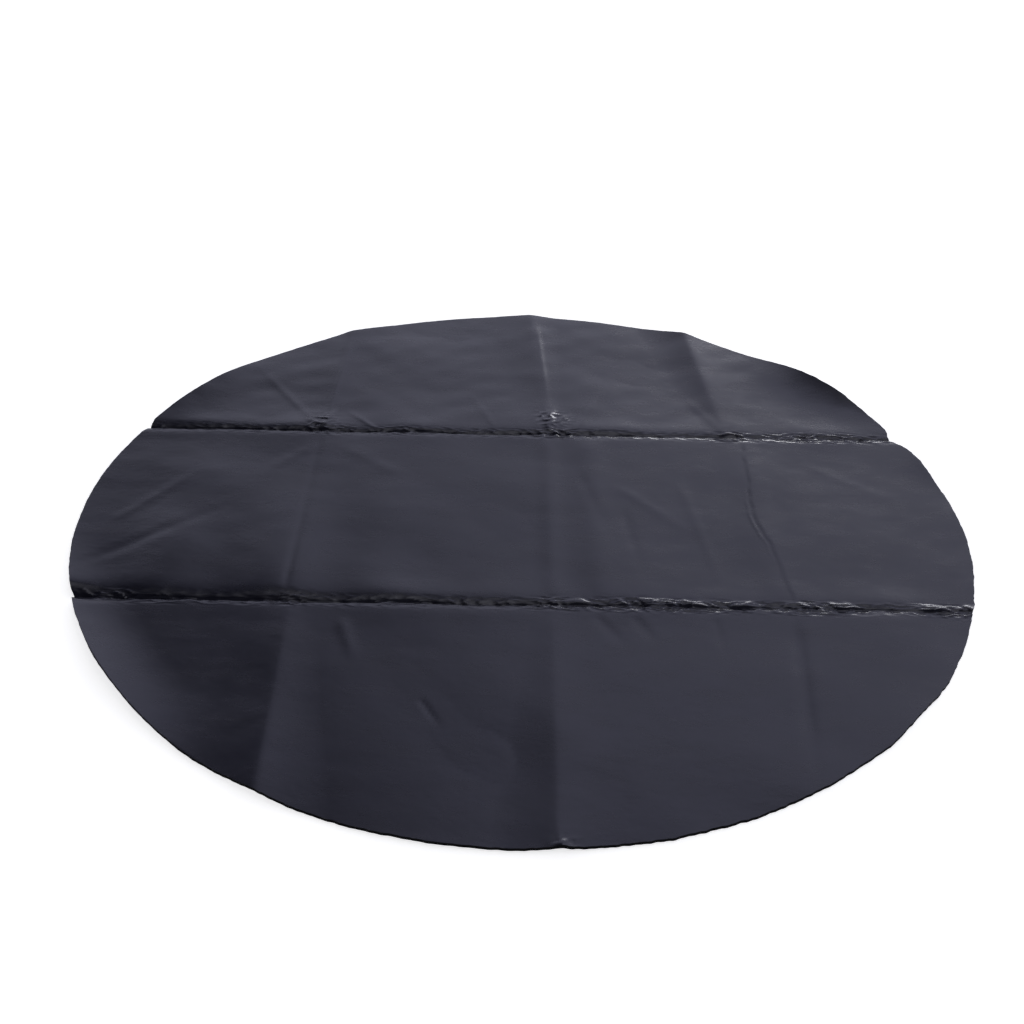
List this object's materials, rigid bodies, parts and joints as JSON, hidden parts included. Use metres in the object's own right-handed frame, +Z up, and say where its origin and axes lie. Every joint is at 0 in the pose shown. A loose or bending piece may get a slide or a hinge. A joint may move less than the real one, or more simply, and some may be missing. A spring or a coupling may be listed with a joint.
{
  "type": "spa cover",
  "caption": "Round foam-cored spa cover lying flat, folded by its creases into three across and four along, with raised fold ridges at its rear rim",
  "frame": {"origin": "middle of the disc, on the surface the cover lies on", "axes": "+Z up out of the cover, +X right and +Y to the rear edge, creases parallel to X and Y"},
  "size_m": [1.8, 1.8, 0.022],
  "materials": {
    "film": "satin embossed dark grey film",
    "foam": "matte black closed-cell foam, cut edge"
  },
  "bodies": {
    "middle_inner_left": {"bottom_film_middle_inner_left": "film", "foam_core_middle_inner_left": "foam", "top_film_middle_inner_left": "film"},
    "rear_outer_left": {"bottom_film_rear_outer_left": "film", "foam_core_rear_outer_left": "foam", "top_film_rear_outer_left": "film", "ridge_bottom_film_left_of_outer_left": "film", "ridge_foam_core_left_of_outer_left": "foam", "ridge_top_film_left_of_outer_left": "film"},
    "rear_inner_left": {"bottom_film_rear_inner_left": "film", "foam_core_rear_inner_left": "foam", "top_film_rear_inner_left": "film", "ridge_bottom_film_left_of_inner_left": "film", "ridge_foam_core_left_of_inner_left": "foam", "ridge_top_film_left_of_inner_left": "film", "ridge_bottom_film_centre_of_inner_left": "film", "ridge_foam_core_centre_of_inner_left": "foam", "ridge_top_film_centre_of_inner_left": "film"},
    "rear_inner_right": {"bottom_film_rear_inner_right": "film", "foam_core_rear_inner_right": "foam", "top_film_rear_inner_right": "film", "ridge_bottom_film_centre_of_inner_right": "film", "ridge_foam_core_centre_of_inner_right": "foam", "ridge_top_film_centre_of_inner_right": "film", "ridge_bottom_film_right_of_inner_right": "film", "ridge_foam_core_right_of_inner_right": "foam", "ridge_top_film_right_of_inner_right": "film"},
    "rear_outer_right": {"bottom_film_rear_outer_right": "film", "foam_core_rear_outer_right": "foam", "top_film_rear_outer_right": "film", "ridge_bottom_film_right_of_outer_right": "film", "ridge_foam_core_right_of_outer_right": "foam", "ridge_top_film_right_of_outer_right": "film"},
    "middle_outer_left": {"bottom_film_middle_outer_left": "film", "foam_core_middle_outer_left": "foam", "top_film_middle_outer_left": "film"},
    "middle_inner_right": {"bottom_film_middle_inner_right": "film", "foam_core_middle_inner_right": "foam", "top_film_middle_inner_right": "film"},
    "middle_outer_right": {"bottom_film_middle_outer_right": "film", "foam_core_middle_outer_right": "foam", "top_film_middle_outer_right": "film"},
    "front_outer_left": {"bottom_film_front_outer_left": "film", "foam_core_front_outer_left": "foam", "top_film_front_outer_left": "film"},
    "front_inner_left": {"bottom_film_front_inner_left": "film", "foam_core_front_inner_left": "foam", "top_film_front_inner_left": "film"},
    "front_inner_right": {"bottom_film_front_inner_right": "film", "foam_core_front_inner_right": "foam", "top_film_front_inner_right": "film"},
    "front_outer_right": {"bottom_film_front_outer_right": "film", "foam_core_front_outer_right": "foam", "top_film_front_outer_right": "film"}
  },
  "joints": [
    {"name": "left_fold", "type": "hinge", "parent": "middle_inner_left", "child": "middle_outer_left", "pos_m": [-0.441, 0, 0.011], "axis": [0, -1, 0], "range_deg": [-180, 0], "deforming": ["ridge_bottom_film_left_of_outer_left", "ridge_foam_core_left_of_outer_left", "ridge_top_film_left_of_outer_left", "ridge_bottom_film_left_of_inner_left", "ridge_foam_core_left_of_inner_left", "ridge_top_film_left_of_inner_left"]},
    {"name": "centre_fold", "type": "hinge", "parent": "middle_inner_left", "child": "middle_inner_right", "pos_m": [0.054, 0, 0.023], "axis": [0, 1, 0], "range_deg": [-180, 0], "deforming": ["ridge_bottom_film_centre_of_inner_left", "ridge_foam_core_centre_of_inner_left", "ridge_top_film_centre_of_inner_left", "ridge_bottom_film_centre_of_inner_right", "ridge_foam_core_centre_of_inner_right", "ridge_top_film_centre_of_inner_right"]},
    {"name": "right_fold", "type": "hinge", "parent": "middle_inner_right", "child": "middle_outer_right", "pos_m": [0.495, 0, 0.011], "axis": [0, 1, 0], "range_deg": [-180, 0], "deforming": ["ridge_bottom_film_right_of_inner_right", "ridge_foam_core_right_of_inner_right", "ridge_top_film_right_of_inner_right", "ridge_bottom_film_right_of_outer_right", "ridge_foam_core_right_of_outer_right", "ridge_top_film_right_of_outer_right"]},
    {"name": "rear_fold", "type": "hinge", "parent": "middle_inner_left", "child": "rear_inner_left", "pos_m": [-0.1935, 0.315, 0.032], "axis": [1, 0, 0], "range_deg": [0, 180]},
    {"name": "rear_fold_outer_left", "type": "hinge", "parent": "middle_outer_left", "child": "rear_outer_left", "pos_m": [-0.65, 0.315, 0.032], "axis": [1, 0, 0], "range_deg": [0, 180]},
    {"name": "rear_fold_inner_right", "type": "hinge", "parent": "middle_inner_right", "child": "rear_inner_right", "pos_m": [0.2745, 0.315, 0.032], "axis": [1, 0, 0], "range_deg": [0, 180]},
    {"name": "rear_fold_outer_right", "type": "hinge", "parent": "middle_outer_right", "child": "rear_outer_right", "pos_m": [0.68, 0.315, 0.032], "axis": [1, 0, 0], "range_deg": [0, 180]},
    {"name": "front_fold", "type": "hinge", "parent": "middle_inner_left", "child": "front_inner_left", "pos_m": [-0.1935, -0.3015, 0.02], "axis": [-1, 0, 0], "range_deg": [0, 180]},
    {"name": "front_fold_outer_left", "type": "hinge", "parent": "middle_outer_left", "child": "front_outer_left", "pos_m": [-0.65, -0.3015, 0.02], "axis": [-1, 0, 0], "range_deg": [0, 180]},
    {"name": "front_fold_inner_right", "type": "hinge", "parent": "middle_inner_right", "child": "front_inner_right", "pos_m": [0.2745, -0.3015, 0.02], "axis": [-1, 0, 0], "range_deg": [0, 180]},
    {"name": "front_fold_outer_right", "type": "hinge", "parent": "middle_outer_right", "child": "front_outer_right", "pos_m": [0.68, -0.3015, 0.02], "axis": [-1, 0, 0], "range_deg": [0, 180]}
  ],
  "couplings": [
    {"joint": "rear_fold_outer_left", "follows": "rear_fold", "ratio": 1},
    {"joint": "rear_fold_inner_right", "follows": "rear_fold", "ratio": 1},
    {"joint": "rear_fold_outer_right", "follows": "rear_fold", "ratio": 1},
    {"joint": "front_fold_outer_left", "follows": "front_fold", "ratio": 1},
    {"joint": "front_fold_inner_right", "follows": "front_fold", "ratio": 1},
    {"joint": "front_fold_outer_right", "follows": "front_fold", "ratio": 1}
  ]
}
